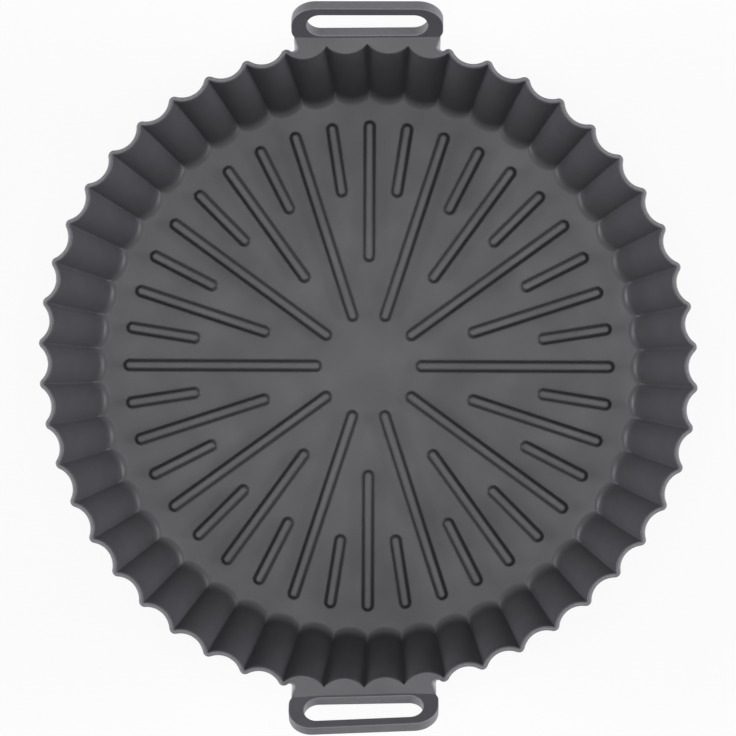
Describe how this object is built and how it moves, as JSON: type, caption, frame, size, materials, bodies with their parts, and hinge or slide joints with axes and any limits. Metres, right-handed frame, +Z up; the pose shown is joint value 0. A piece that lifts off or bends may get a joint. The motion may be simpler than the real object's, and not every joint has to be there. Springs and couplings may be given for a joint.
{
  "type": "silicone air fryer basket",
  "caption": "Shallow round silicone basket liner with a thin fluted wall, a ribbed floor and two bent-up loop handles, dropped into an air fryer drawer to hold food.",
  "frame": {"origin": "centre of the flat underside, level with the table", "axes": "+Z up along the tub's axis, +Y towards one of the two handles"},
  "size_m": [0.1996, 0.2226, 0.0588],
  "materials": {
    "silicone": "satin dark grey moulded silicone"
  },
  "bodies": {
    "root": {"basket": "silicone"}
  },
  "joints": []
}
